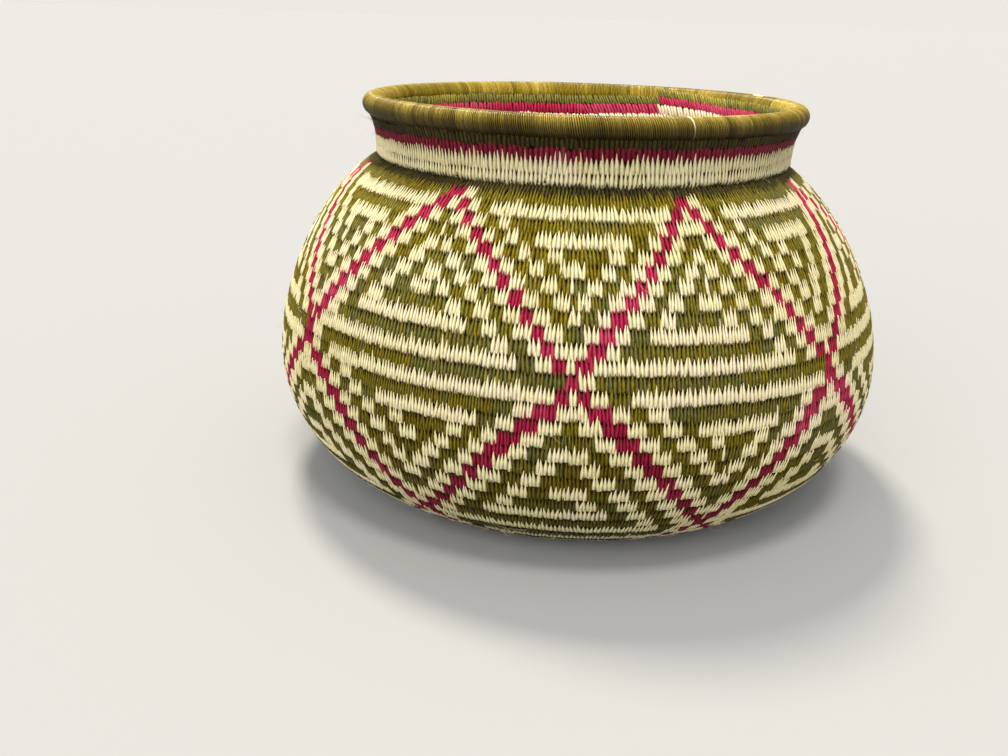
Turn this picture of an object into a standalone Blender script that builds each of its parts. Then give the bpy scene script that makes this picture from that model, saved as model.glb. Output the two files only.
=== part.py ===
"""Coiled basket: one long bundle of fibre wound in a spiral, round upon round.

The bundle starts at a knot in the middle of the base, runs out flat to the foot, climbs the round
wall to the crease under the neck, goes up the neck in thinner rounds and ends in a thick rim.
Each round of the wall and of the neck is a sub-part of its own, cut from the spiral at the seam.

Metres, +Z up. The origin is on the table, under the middle of the basket. The front is -Y.
An angle is measured from the front, positive towards +X, and the spiral climbs that way.
"""
import bmesh
import bpy
import numpy as np
from math import cos, degrees, pi, radians, sin, sqrt

MM = 0.001

# Outer profile of the wall, from the table up
FOOT_RADIUS = 79.5 * MM          # where the flat base turns up into the wall
BELLY_RADIUS = 130.0 * MM        # outside of the widest round
BELLY_HEIGHT = 53.4 * MM         # height of the widest round
CREASE_HEIGHT = 135.6 * MM       # where the shoulder meets the neck
SHOULDER_SLOPE = radians(30.5)   # the shoulder's fall at the crease, below level
FOOT_PULL = 24.3 * MM            # lengths of the handles that round the profile
LOWER_PULL = 29.7 * MM
UPPER_PULL = 29.3 * MM
SHOULDER_PULL = 28.5 * MM

# The bundle with its stitches round it, drawn with six sides, flat where two rounds touch
COIL_DIAMETER = 4.7 * MM         # across the flats, along the wall
COIL_GAP = 0.45 * MM             # least gap between two rounds that lie against each other
END_GAP = 0.5 * MM               # between the ends of two rounds at the seam
END_STRETCH = 3.0 * MM           # length of the first and last stretch of a round
FLAT_DEPTH = 0.47 * MM           # how deep the base is worn flat
SIX_SIDES = 2 / sqrt(3)          # width across the corners of a hexagon, as a share of its flats
COIL_DEPTH = COIL_DIAMETER * SIX_SIDES   # through the wall
COIL_PITCH = COIL_DIAMETER + COIL_GAP    # from one round to the next

# The neck, of thinner rounds, and the rim
NECK_RADIUS = 87.0 * MM          # outside of the neck
NECK_COIL_DIAMETER = 3.3 * MM
NECK_COIL_DEPTH = NECK_COIL_DIAMETER * SIX_SIDES
NECK_PITCH = NECK_COIL_DIAMETER + COIL_GAP
NECK_ROUNDS = ("neck_cream_lower", "neck_cream_upper", "neck_crimson", "neck_olive")
TAIL_END = 0.8 * MM              # thickness of the bundle's tapered end, under the rim
RIM_OVERHANG = 3.3 * MM          # how far the rim's middle stands out past the neck's
RIM_CORE_DIAMETER = 7.0 * MM
RIM_WRAP_THICKNESS = 0.4 * MM    # the fine strand wound round the rim
TOUCH_GAP = 0.3 * MM             # left between two surfaces that touch

# The knot in the eye of the spiral
KNOT_RADIUS = 5.8 * MM
KNOT_HEIGHT = 5.2 * MM
KNOT_OFFSET = 1.8 * MM           # from the axis to the knot's middle
KNOT_SIDE = radians(225.0)       # the side it lies to, measured from the seam
SEAM = radians(154.0)            # the side where a row's colours step up to the next round

# How finely it is drawn
POINTS_PER_ROUND = 24
TUBE_RESOLUTION = 1              # bevel resolution of the rounds, six sides
RIM_RESOLUTION = 2               # eight sides
PROFILE_SAMPLES = 400
KNOT_SIDES = 16
KNOT_EDGE_STEPS = 6              # steps round the knot's rounded edge
SHARP_ANGLE = radians(70.0)      # a sharper edge isn't shaded smooth
MERGE_DISTANCE = 0.01 * MM

OLIVE = (0.155, 0.125, 0.028)
DARK_OLIVE = (0.060, 0.052, 0.018)
CREAM = (0.79, 0.70, 0.42)
CRIMSON = (0.46, 0.020, 0.075)


def new_material(name, colour, roughness):
    """A plain matte or satin fibre material."""
    material = bpy.data.materials.new(name)
    material.use_nodes = True
    shader = material.node_tree.nodes["Principled BSDF"]
    shader.inputs["Base Color"].default_value = (*colour, 1.0)
    shader.inputs["Roughness"].default_value = roughness
    shader.inputs["Metallic"].default_value = 0.0
    material.diffuse_color = (*colour, 1.0)
    return material


def bezier(start, start_pull, end_pull, end, samples):
    """Points of a cubic curve from start to end, bent by its two handles."""
    t = np.linspace(0.0, 1.0, samples)[:, None]
    return ((1 - t) ** 3 * start + 3 * (1 - t) ** 2 * t * start_pull
            + 3 * (1 - t) * t ** 2 * end_pull + t ** 3 * end)


def wall_profile():
    """Radius and height of the middle of the bundle, from the foot up to the crease.

    The second value is how far the outside of the wall leans up from level there.
    """
    foot = np.array([FOOT_RADIUS, 0.0])
    belly = np.array([BELLY_RADIUS, BELLY_HEIGHT])
    crease_radius = NECK_RADIUS - NECK_COIL_DEPTH / 2 + sin(SHOULDER_SLOPE) * COIL_DEPTH / 2
    crease = np.array([crease_radius, CREASE_HEIGHT])
    fall = np.array([cos(SHOULDER_SLOPE), -sin(SHOULDER_SLOPE)])
    lower = bezier(foot, foot + [FOOT_PULL, 0.0], belly - [0.0, LOWER_PULL], belly, PROFILE_SAMPLES)
    upper = bezier(belly, belly + [0.0, UPPER_PULL], crease + SHOULDER_PULL * fall, crease, PROFILE_SAMPLES)
    outside = np.vstack([lower, upper[1:]])
    along = np.gradient(outside, axis=0)
    along /= np.linalg.norm(along, axis=1)[:, None]
    inward = np.stack([-along[:, 1], along[:, 0]], axis=1)
    lean = np.arctan2(-inward[:, 1], -inward[:, 0])
    return outside + inward * COIL_DEPTH / 2, lean


class Spiral:
    """Where the middle of the bundle is after any number of turns, 0 being the foot."""

    def __init__(self):
        profile, lean = wall_profile()
        steps = np.linalg.norm(np.diff(profile, axis=0), axis=1)
        length = np.concatenate([[0.0], np.cumsum(steps)])
        self.wall_rounds = int(length[-1] / COIL_PITCH)
        wall_turns = length / length[-1] * self.wall_rounds

        # The spiral starts beside the knot, which fills its eye.
        eye_radius = KNOT_RADIUS + TOUCH_GAP + KNOT_OFFSET * cos(KNOT_SIDE)
        first_radius = eye_radius + COIL_DIAMETER / 2
        self.base_rounds = int((profile[0, 0] - first_radius) / COIL_PITCH)
        base_height = COIL_DEPTH / 2 - FLAT_DEPTH
        base_turns = np.array([-self.base_rounds, -1.0])
        base_radii = profile[0, 0] + (profile[0, 0] - first_radius) * base_turns / self.base_rounds

        # The first turn of the neck keeps clear of the last of the wall past the bend at the crease.
        touching = (COIL_DEPTH + NECK_COIL_DEPTH) / 2 + COIL_GAP
        bend = pi / 2 - SHOULDER_SLOPE
        neck_turns = np.arange(1, len(NECK_ROUNDS) + 1)
        neck_heights = profile[-1, 1] + touching / cos(bend / 2) + NECK_PITCH * (neck_turns - 1)
        self.neck_radius = profile[-1, 0]
        self.top = neck_heights[-1]

        self.turns = np.concatenate([base_turns, wall_turns, self.wall_rounds + neck_turns])
        self.radii = np.concatenate([base_radii, profile[:, 0], np.full(len(neck_turns), self.neck_radius)])
        self.heights = np.concatenate([np.full(2, base_height), profile[:, 1], neck_heights])
        self.leans = np.concatenate([np.full(2, lean[0]), lean, np.zeros(len(neck_turns))])

    def at(self, turns):
        """Points of the middle of the bundle, as rows of x, y, z."""
        radius = np.interp(turns, self.turns, self.radii)
        height = np.interp(turns, self.turns, self.heights)
        angle = SEAM + 2 * pi * turns
        return np.stack([radius * np.sin(angle), -radius * np.cos(angle), height], axis=-1)

    def lean(self, turns):
        """How far the outer side of the bundle is turned up from level."""
        return np.interp(turns, self.turns, self.leans)


def with_square_ends(turns, length):
    """The turn counts, drawn back at both ends, with a short first and last stretch.

    A tube is cut off square to its last stretch, so a short one turns the cut to face the next tube.
    length is that of one turn.
    """
    back = END_GAP / 2 / length
    stretch = END_STRETCH / length
    first = turns[0] + back
    last = turns[-1] - back
    return np.concatenate([[first, first + stretch], turns[1:-1], [last - stretch, last]])


def round_turns(spiral, first, last):
    """Turn counts from one to another, a fixed number a round."""
    count = int(round((last - first) * POINTS_PER_ROUND))
    turns = np.linspace(first, last, count + 1)
    radius = np.interp(last, spiral.turns, spiral.radii)
    return with_square_ends(turns, 2 * pi * radius)


def tube(name, points, radius, resolution, material, collection, tilt=0.0, taper=1.0, caps=True):
    """A tube along the points, with its corners on the radius, turned about its run by the tilt.

    The taper is the share of the radius at each point.
    """
    curve = bpy.data.curves.new(name, "CURVE")
    curve.dimensions = "3D"
    curve.twist_mode = "Z_UP"
    curve.bevel_depth = radius
    curve.bevel_resolution = resolution
    curve.use_fill_caps = caps
    spline = curve.splines.new("POLY")
    spline.points.add(len(points) - 1)
    spline.points.foreach_set("co", np.column_stack([points, np.ones(len(points))]).ravel())
    spline.points.foreach_set("tilt", np.broadcast_to(tilt, len(points)).astype(np.float32))
    spline.points.foreach_set("radius", np.broadcast_to(taper, len(points)).astype(np.float32))
    curve.materials.append(material)
    thing = bpy.data.objects.new(name, curve)
    collection.objects.link(thing)
    return thing


def coil(name, spiral, first, last, width, material, collection):
    """A stretch of the spiral, six-sided, its flats against the rounds below and above."""
    turns = round_turns(spiral, first, last)
    return tube(name, spiral.at(turns), width * SIX_SIDES / 2, TUBE_RESOLUTION, material, collection,
                tilt=-spiral.lean(turns))


def as_mesh(thing, collection):
    """The same tube as a closed mesh, so that it can be cut or given a wall."""
    bpy.context.view_layer.update()
    evaluated = thing.evaluated_get(bpy.context.evaluated_depsgraph_get())
    mesh = bpy.data.meshes.new_from_object(evaluated)
    shape = bmesh.new()
    shape.from_mesh(mesh)
    bmesh.ops.remove_doubles(shape, verts=shape.verts, dist=MERGE_DISTANCE)
    bmesh.ops.recalc_face_normals(shape, faces=shape.faces)
    shape.to_mesh(mesh)
    shape.free()
    name = thing.name
    place = thing.matrix_world.copy()
    bpy.data.objects.remove(thing)
    solid = bpy.data.objects.new(name, mesh)
    solid.matrix_world = place
    collection.objects.link(solid)
    return solid


def shade(thing):
    """Smooth across a round side, sharp at a cut or an end."""
    thing.data.shade_smooth()
    thing.data.set_sharp_from_angle(angle=SHARP_ANGLE)


def make_base(spiral, material, collection, cutters):
    """The flat spiral under the basket, in one piece, worn flat where it stands."""
    base = coil("base_coil", spiral, -spiral.base_rounds, 0.0, COIL_DIAMETER, material, collection)
    base = as_mesh(base, collection)
    width = 2 * BELLY_RADIUS
    depth = 2 * COIL_DEPTH
    bpy.ops.mesh.primitive_cube_add(size=1.0, location=(0.0, 0.0, -depth / 2))
    table = bpy.context.object
    table.name = "table_cutter"
    table.scale = (width, width, depth)
    for owner in list(table.users_collection):
        owner.objects.unlink(table)
    cutters.objects.link(table)
    table.hide_render = True
    table.display_type = "WIRE"
    cut = base.modifiers.new("worn flat", "BOOLEAN")
    cut.operation = "DIFFERENCE"
    cut.solver = "EXACT"
    cut.object = table
    shade(base)
    return base


def make_knot(material, collection):
    """The knot that the spiral starts from: a low button with a flat foot and a round edge, turned."""
    edge = KNOT_HEIGHT / 2
    angles = np.linspace(pi / 2, -pi / 2, KNOT_EDGE_STEPS + 1)
    radii = np.concatenate([[0.0], KNOT_RADIUS - edge + edge * np.cos(angles), [0.0]])
    heights = np.concatenate([[KNOT_HEIGHT], edge + edge * np.sin(angles), [0.0]])
    outline = np.stack([radii, np.zeros(len(radii)), heights], axis=-1)
    mesh = bpy.data.meshes.new("start_knot")
    mesh.from_pydata(outline.tolist(), [(i, i + 1) for i in range(len(outline) - 1)], [])
    mesh.materials.append(material)
    knot = bpy.data.objects.new("start_knot", mesh)
    angle = SEAM + KNOT_SIDE
    knot.location = (KNOT_OFFSET * sin(angle), -KNOT_OFFSET * cos(angle), 0.0)
    collection.objects.link(knot)
    turn = knot.modifiers.new("turned", "SCREW")
    turn.steps = KNOT_SIDES
    turn.render_steps = KNOT_SIDES
    turn.use_merge_vertices = True
    turn.merge_threshold = MERGE_DISTANCE
    turn.use_smooth_shade = True
    return knot


def make_tail(spiral, material, collection):
    """The last of the bundle, thinned out between the top of the climbing neck and the level rim."""
    whole = spiral.wall_rounds + len(NECK_ROUNDS)
    turns = round_turns(spiral, whole, whole + 1)
    share = turns - whole
    thickness = NECK_PITCH * (1 - share) - COIL_GAP
    kept = thickness > TAIL_END
    turns = turns[kept]
    thickness = thickness[kept]
    points = spiral.at(turns)
    below = spiral.at(turns - 1.0)[:, 2] + NECK_COIL_DIAMETER / 2
    points[:, 2] = below + COIL_GAP + thickness / 2
    widest = thickness[0] * SIX_SIDES / 2
    return tube("coil_tail", points, widest, TUBE_RESOLUTION, material, collection,
                taper=thickness / thickness[0])


def make_rim(spiral, core_material, wrap_material, collection):
    """The thick bundle of the rim, in a thin sleeve of wound strand, open at the seam."""
    wrap_diameter = RIM_CORE_DIAMETER + 2 * (TOUCH_GAP + RIM_WRAP_THICKNESS)
    height = spiral.top + (NECK_COIL_DIAMETER + wrap_diameter) / 2 + COIL_GAP
    radius = spiral.neck_radius + RIM_OVERHANG
    turns = with_square_ends(np.linspace(0.0, 1.0, POINTS_PER_ROUND + 1), 2 * pi * radius)
    angles = SEAM + 2 * pi * turns
    points = np.stack([radius * np.sin(angles), -radius * np.cos(angles),
                       np.full(len(angles), height)], axis=-1)
    tube("rim_core", points, RIM_CORE_DIAMETER / 2, RIM_RESOLUTION, core_material, collection)
    wrap = tube("rim_wrap", points, wrap_diameter / 2, RIM_RESOLUTION, wrap_material, collection, caps=False)
    wrap = as_mesh(wrap, collection)
    wall = wrap.modifiers.new("strand", "SOLIDIFY")
    wall.thickness = RIM_WRAP_THICKNESS
    wall.offset = -1.0
    wall.use_even_offset = True
    shade(wrap)
    return height + wrap_diameter / 2


def least_gap(spiral):
    """The least gap between rounds that lie against each other, measured on points of the spiral."""
    rounds = spiral.base_rounds + spiral.wall_rounds + len(NECK_ROUNDS)
    turns = np.arange(rounds * POINTS_PER_ROUND + 1) / POINTS_PER_ROUND - spiral.base_rounds
    points = spiral.at(turns)
    diameter = np.where(turns < spiral.wall_rounds, COIL_DIAMETER, NECK_COIL_DIAMETER)
    later = points[POINTS_PER_ROUND:]
    earlier = points[:-POINTS_PER_ROUND]
    middle = np.linalg.norm(later - earlier, axis=1)
    return (middle - (diameter[POINTS_PER_ROUND:] + diameter[:-POINTS_PER_ROUND]) / 2).min()


def main():
    for thing in list(bpy.data.objects):
        bpy.data.objects.remove(thing)
    parts = bpy.data.collections.new("coiled basket")
    cutters = bpy.data.collections.new("cutters")
    bpy.context.scene.collection.children.link(parts)
    bpy.context.scene.collection.children.link(cutters)

    spiral = Spiral()
    make_knot(new_material("start_knot", DARK_OLIVE, 0.8), parts)
    make_base(spiral, new_material("base_coil", DARK_OLIVE, 0.75), parts, cutters)
    for number in range(1, spiral.wall_rounds + 1):
        name = f"wall_round_{number:02d}"
        rows_down = spiral.wall_rounds - number
        colour = (CREAM, OLIVE)[rows_down % 2] if rows_down else DARK_OLIVE
        coil(name, spiral, number - 1, number, COIL_DIAMETER, new_material(name, colour, 0.7), parts)
    neck_colours = (CREAM, CREAM, CRIMSON, DARK_OLIVE)
    for index, (name, colour) in enumerate(zip(NECK_ROUNDS, neck_colours)):
        first = spiral.wall_rounds + index
        coil(name, spiral, first, first + 1, NECK_COIL_DIAMETER, new_material(name, colour, 0.7), parts)
    make_tail(spiral, new_material("coil_tail", DARK_OLIVE, 0.7), parts)
    top = make_rim(spiral, new_material("rim_core", CREAM, 0.8), new_material("rim_wrap", OLIVE, 0.4), parts)

    print(f"rounds: base {spiral.base_rounds}, wall {spiral.wall_rounds}, neck {len(NECK_ROUNDS)}")
    print(f"least gap between rounds {least_gap(spiral) / MM:.2f} mm")
    print(f"height {top / MM:.1f} mm, width {2 * BELLY_RADIUS / MM:.1f} mm, seam at {degrees(SEAM):.0f} degrees")


main()
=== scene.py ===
# %% [markdown]
# # A coiled basket, stitch by stitch
# A long bundle of palm fibre is wound in a spiral from the middle of the base to the rim. A strand of
# split leaf is sewn over the bundle all the way, and each stitch is pinned into the round above it.
# The colours of those stitches draw the pattern, so this lesson places every stitch as its own small
# body and colours it by a rule. First come the frame that all of it must fit and the real sizes.

import bpy
import numpy as np
from mathutils import Matrix, Vector


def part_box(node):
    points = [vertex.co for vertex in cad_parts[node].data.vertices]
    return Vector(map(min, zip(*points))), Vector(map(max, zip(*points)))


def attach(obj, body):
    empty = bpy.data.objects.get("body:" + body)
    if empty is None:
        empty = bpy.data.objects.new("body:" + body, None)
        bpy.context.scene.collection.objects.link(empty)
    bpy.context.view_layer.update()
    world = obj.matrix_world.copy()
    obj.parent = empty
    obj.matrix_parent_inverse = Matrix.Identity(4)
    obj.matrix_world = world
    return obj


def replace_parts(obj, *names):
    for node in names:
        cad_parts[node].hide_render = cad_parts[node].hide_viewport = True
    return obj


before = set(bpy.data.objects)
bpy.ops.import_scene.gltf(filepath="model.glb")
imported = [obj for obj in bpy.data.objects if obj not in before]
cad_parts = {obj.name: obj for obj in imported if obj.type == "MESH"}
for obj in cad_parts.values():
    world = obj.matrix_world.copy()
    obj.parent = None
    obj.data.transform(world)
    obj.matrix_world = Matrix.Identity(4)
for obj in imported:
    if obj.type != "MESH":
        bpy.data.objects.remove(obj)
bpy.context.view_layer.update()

MM = 0.001
FOOT_RADIUS = 79.5 * MM
BELLY_RADIUS = 130.0 * MM
BELLY_HEIGHT = 53.4 * MM
CREASE_HEIGHT = 135.6 * MM
SHOULDER_SLOPE = np.radians(30.5)
FOOT_PULL = 24.3 * MM  # the pulls are the handles of the outline's two curves
LOWER_PULL = 29.7 * MM
UPPER_PULL = 29.3 * MM
SHOULDER_PULL = 28.5 * MM
NECK_RADIUS = 87.0 * MM
WALL_DEPTH = 2.71 * MM  # from the middle of the bundle to the outside of the stitches
NECK_DEPTH = 1.9 * MM
WALL_ROUNDS = 33
BASE_ROUNDS = 14
EYE_RADIUS = 7.2 * MM  # of the bundle's middle at the inner end of the base's rounds
BASE_MIDDLE = 2.24 * MM  # height of the bundle's middle under the basket
RIM_RADIUS = 88.4 * MM
RIM_HEIGHT = 156.1 * MM
RIM_ROLL = 4.2 * MM  # radius of the rim's roll
SEAM = 154.0  # degrees from the front, where one round passes into the next

# %% [markdown]
# ## The camera
# The photograph looks down a little from close by. The place, the turn and the lens were found by
# matching the rim, the belly and the rows to the picture, and they are set before anything is made.

# %% Camera
CAMERA_PLACE = Vector((0.0, -438.7, 191.6)) * MM
CAMERA_PITCH = np.radians(19.983)
CAMERA_YAW = np.radians(-4.040)
CAMERA_ROLL = np.radians(1.643)
LENS = 35.71

camera = bpy.data.objects.new("camera", bpy.data.cameras.new("camera"))
bpy.context.scene.collection.objects.link(camera)
bpy.context.scene.camera = camera
camera.data.sensor_width = 36.0
camera.data.lens = LENS
camera.data.clip_start = 0.01
upright = Matrix.Rotation(-CAMERA_YAW, 4, "Z") @ Matrix.Rotation(np.pi / 2 - CAMERA_PITCH, 4, "X")
camera.matrix_world = Matrix.Translation(CAMERA_PLACE) @ upright @ Matrix.Rotation(CAMERA_ROLL, 4, "Z")
print("camera looks along", [round(x, 3) for x in camera.matrix_world.to_3x3() @ Vector((0, 0, -1))])

# %% [markdown]
# ## The line that the bundle follows
# Seen in section, the wall is a smooth curve from the foot over the belly to the crease under the
# neck. The bundle climbs it by one row each turn, so one number, the turns since the foot, gives the
# place of everything. At a side of the basket, whole turns apart are the rows above each other.

# %% The section of the wall
def bezier(start, start_pull, end_pull, end, samples=400):
    """Points of a cubic curve: the four points weighted by the terms of (1 - t + t) cubed."""
    t = np.linspace(0.0, 1.0, samples)[:, None]
    return ((1 - t) ** 3 * start + 3 * (1 - t) ** 2 * t * start_pull
            + 3 * (1 - t) * t ** 2 * end_pull + t ** 3 * end)


def wall_section():
    """Turns, radius, height and lean of the bundle's middle from the foot to the crease.

    The outline is two cubic curves. The middle lies inward of it by the depth, along the outline's
    normal, and the turns grow evenly with the length of the outline.
    """
    foot = np.array([FOOT_RADIUS, 0.0])
    belly = np.array([BELLY_RADIUS, BELLY_HEIGHT])
    crease = np.array([NECK_RADIUS - NECK_DEPTH + np.sin(SHOULDER_SLOPE) * WALL_DEPTH, CREASE_HEIGHT])
    fall = np.array([np.cos(SHOULDER_SLOPE), -np.sin(SHOULDER_SLOPE)])
    lower = bezier(foot, foot + [FOOT_PULL, 0.0], belly - [0.0, LOWER_PULL], belly)
    upper = bezier(belly, belly + [0.0, UPPER_PULL], crease + SHOULDER_PULL * fall, crease)
    outline = np.vstack([lower, upper[1:]])
    along = np.gradient(outline, axis=0)
    along /= np.linalg.norm(along, axis=1)[:, None]
    outward = np.stack([along[:, 1], -along[:, 0]], axis=1)
    middle = outline - outward * WALL_DEPTH
    length = np.concatenate([[0.0], np.cumsum(np.linalg.norm(np.diff(middle, axis=0), axis=1))])
    turns = length / length[-1] * WALL_ROUNDS
    return turns, middle[:, 0], middle[:, 1], np.arctan2(outward[:, 1], outward[:, 0])


FRONT_SHARE = (360.0 - SEAM) / 360.0  # of a turn, from the seam to the front
START = -BASE_ROUNDS - 0.8  # the winding starts under the knot
wall_turns, wall_radii, wall_heights, wall_leans = wall_section()
base_turns = np.array([START - 0.1, -1.0])
base_radii = wall_radii[0] + (wall_radii[0] - EYE_RADIUS) * base_turns / BASE_ROUNDS


def row_middles(heights, flare, leans):
    """Turns, radii, heights and leans over the flat base, the wall and then the neck at the front."""
    neck_turns = WALL_ROUNDS + FRONT_SHARE + np.arange(len(heights))
    return (np.concatenate([base_turns, wall_turns, neck_turns]),
            np.concatenate([base_radii, wall_radii, wall_radii[-1] + flare]),
            np.concatenate([np.full(2, BASE_MIDDLE), wall_heights, heights]),
            np.concatenate([np.full(2, wall_leans[0]), wall_leans, leans]))


NECK_MIDDLES = np.array([137.8, 142.3, 146.65, 151.0, 154.6]) * MM
NECK_FLARE = np.array([0.2, 0.5, 1.0, 2.4, 4.0]) * MM
OUTSIDE = row_middles(NECK_MIDDLES, NECK_FLARE, np.radians([0.0, 0.0, -6.0, -24.0, -34.0]))
TURNS, RADII = OUTSIDE[:2]
# Inside, the neck's stitches sit about a row higher, so this line goes on above the last row.
INNER_NECK = np.array([137.8, 141.9, 145.8, 150.6, 154.4, 157.7, 160.6]) * MM
INNER_FLARE = np.array([0.0, 0.0, 0.0, 0.0, 0.1, 0.8, 2.0]) * MM
INSIDE = row_middles(INNER_NECK, INNER_FLARE, 0 * INNER_NECK)
print(f"a row takes {np.hypot(np.diff(wall_radii), np.diff(wall_heights)).sum() / WALL_ROUNDS / MM:.2f} mm")

THINNING = 0.6  # of a turn above the crease, in which the bundle gets thinner


def depth_at(turns):
    """The bundle with its stitches is thick on the wall and thinner on the neck."""
    return np.interp(turns, [WALL_ROUNDS, WALL_ROUNDS + THINNING], [WALL_DEPTH, NECK_DEPTH])


def side_at(turns):
    """Angle from the front, in radians, that the climbing bundle has reached after its turns."""
    return np.radians(SEAM) + 2 * np.pi * turns


# %% [markdown]
# ## The hand in it
# No basket made by hand is even. On this one the rows hang up to 0.7 of a row lower on the right of
# the front than a true spiral would, the lower belly is a little fuller than its drawn curve, and
# the shoulder leans to the left by a millimetre.

# %% Unevenness
HANG_BELOW = (-1, 2, 4, 8, 10, 12, 16, 18, 20, 24, 29)  # rows under the crease
HANG_SIDES = (-125, -60, -36, -12, 12, 36, 60, 125)  # degrees from the front
HANG = np.array([  # hundredths of a row, lower is more
    [0, 0, 0, 0, 0, 0, 0, 0],
    [0, -25, -20, -14, 2, 8, 18, 0],
    [0, -22, -15, -10, 3, 12, 15, 0],
    [0, 0, 6, 8, 18, 40, 55, 20],
    [0, 8, 10, 14, 26, 60, 68, 30],
    [0, 8, 10, 16, 27, 62, 70, 30],
    [0, 10, 7, 12, 30, 60, 62, 30],
    [0, 5, -8, 2, 17, 52, 48, 20],
    [0, -2, -20, 0, 12, 42, 44, 20],
    [0, -15, -15, 15, 20, 20, 30, 10],
    [0, 0, 10, 15, 15, 15, 10, 0]]) / 100
SWELL_TURNS = (0.0, 3.0, 6.5, 10.0, 13.0)
SWELL = np.array([0.0, 1.3, 0.9, 0.2, 0.0]) * MM
LEAN_TURNS = (20.0, 26.0, 30.0, 34.0)
SIDE_LEAN = np.array([0.0, -0.5, -1.0, -0.6]) * MM
STANDING_TURNS = 4  # rounds that the swell must not push under the floor
FLOOR_GAP = 0.05 * MM  # their least height


def hang_at(turns, side):
    """Rows that the work hangs low: the table's value between its four nearest entries."""
    angle = (np.degrees(side) + 180.0) % 360.0 - 180.0
    down = np.interp(WALL_ROUNDS - turns, HANG_BELOW, np.arange(len(HANG_BELOW)))
    across = np.interp(angle, HANG_SIDES, np.arange(len(HANG_SIDES)))
    i = np.minimum(down.astype(int), len(HANG_BELOW) - 2)
    j = np.minimum(across.astype(int), len(HANG_SIDES) - 2)
    down, across = down - i, across - j
    upper = HANG[i, j] * (1 - across) + HANG[i, j + 1] * across
    lower = HANG[i + 1, j] * (1 - across) + HANG[i + 1, j + 1] * across
    return upper * (1 - down) + lower * down


def place(turns, side, out, line=OUTSIDE):
    """Points at a height given in turns, on a side, this far out from the line of row middles.

    The lean turns the outward direction from level: radius plus out times its cosine, height plus
    out times its sine. The hang is taken off the turns, and the swell is added outwards.
    """
    turns, side = np.broadcast_arrays(turns, side)
    turns = turns - hang_at(turns, side)
    out = out + np.interp(turns, SWELL_TURNS, SWELL)
    lean = np.interp(turns, line[0], line[3])
    radius = np.interp(turns, line[0], line[1]) + out * np.cos(lean)
    height = np.interp(turns, line[0], line[2]) + out * np.sin(lean)
    height = np.where(turns < STANDING_TURNS, np.maximum(height, FLOOR_GAP), height)
    aside = np.interp(turns, LEAN_TURNS, SIDE_LEAN)
    return np.stack([radius * np.sin(side) + aside, -radius * np.cos(side), height], axis=-1)


print("rows hang by up to", HANG.max(), "of a row, and the belly swells by", SWELL.max() / MM, "mm")

# %% [markdown]
# ## The pattern
# Crimson lines cross round the belly like a lattice with seven repeats. They step by a few stitches
# each row. Beside them run narrow bands in cream and olive, nested towards the middle of each field,
# and level bars close the fields. The rule counts bands from the nearest line and stops the count
# at a number that falls by one each row towards the row where the bars meet.

# %% Where the crimson lines run
OLIVE, CREAM, CRIMSON, DARK = range(4)
TOP_ROW = WALL_ROUNDS - 1  # row 0 is this round, and rows are counted downwards from it
APEX_ROWS = (0, 4, 8, 12)  # rows where the upper legs of a crossing are given, in degrees
FOOT_ROWS = (13, 16, 20, 24)  # rows where the lower legs are given
SEEN_LEGS = (
    ((-74.0, -67.2, -60.4, -53.2), (-28.0, -37.9, -46.8, -53.2),
     (-54.2, -60.1, -68.5, -79.5), (-52.0, -43.0, -34.3, -27.0)),
    ((-27.5, -16.8, -7.3, 0.2), (23.3, 15.6, 7.6, 0.2),
     (-1.2, -8.6, -17.0, -26.0), (2.2, 9.2, 17.8, 25.6)),
    ((23.3, 30.9, 39.8, 47.7), (64.8, 60.3, 55.5, 47.7),
     (46.9, 40.4, 32.3, 25.4), (48.8, 54.8, 63.0, 73.0)),
)
HIDDEN_CROSSINGS = (92.0, 146.3, 200.7, 255.0)
HIDDEN_TOPS = (64.8, 119.0, 173.5, 228.0, 286.0)
HIDDEN_FEET = (73.0, 119.0, 173.5, 228.0, 280.5)


def straight_legs(crossing, left_top, right_top, left_foot, right_foot):
    """The four legs of a crossing that isn't seen, each a straight line."""
    up = np.linspace(1.0, 0.0, len(APEX_ROWS))
    down = (np.array(FOOT_ROWS) - APEX_ROWS[-1]) / (FOOT_ROWS[-1] - APEX_ROWS[-1])
    return tuple(crossing + (end - crossing) * share
                 for end, share in ((left_top, up), (right_top, up), (left_foot, down), (right_foot, down)))


LEGS = list(SEEN_LEGS) + [
    straight_legs(crossing, HIDDEN_TOPS[i], HIDDEN_TOPS[i + 1], HIDDEN_FEET[i], HIDDEN_FEET[i + 1])
    for i, crossing in enumerate(HIDDEN_CROSSINGS)]
STEP_UNDER = 2.2  # degrees a row below the foot row, where the lines part again


def lines_at(row):
    """Angles of the left and the right leg of each crossing at a row, left ones first, in order."""
    if row > FOOT_ROWS[-1]:
        reach = (row - FOOT_ROWS[-1]) * STEP_UNDER
        return np.array([[legs[3][-1] - reach, legs[3][-1] + reach] for legs in LEGS]).T
    rows, pair = (APEX_ROWS, slice(0, 2)) if row <= APEX_ROWS[-1] else (FOOT_ROWS, slice(2, 4))
    return np.array([[np.interp(row, rows, leg) for leg in legs[pair]] for legs in LEGS]).T


print(len(LEGS), "crossings round the belly, 360 degrees")

# %% The rule for a stitch's colour
NARROW_BAND, WIDE_BAND, STANDING_BAND = 2.65, 2.9, 3.25  # degrees
COARSE_BAND = 3.35  # degrees, right of the leftmost crossing that is seen
COARSE_LINE = 0.35  # degrees that half its right upper leg is wider than the others
LINE_ROWS = (0, 2, 11, 12, 13, 14, 16, 18, 20)
LINE_HALVES = (1.5, 1.2, 1.15, 0.95, 1.1, 1.9, 1.8, 1.55, 1.35)  # half the crimson line, in degrees
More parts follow.
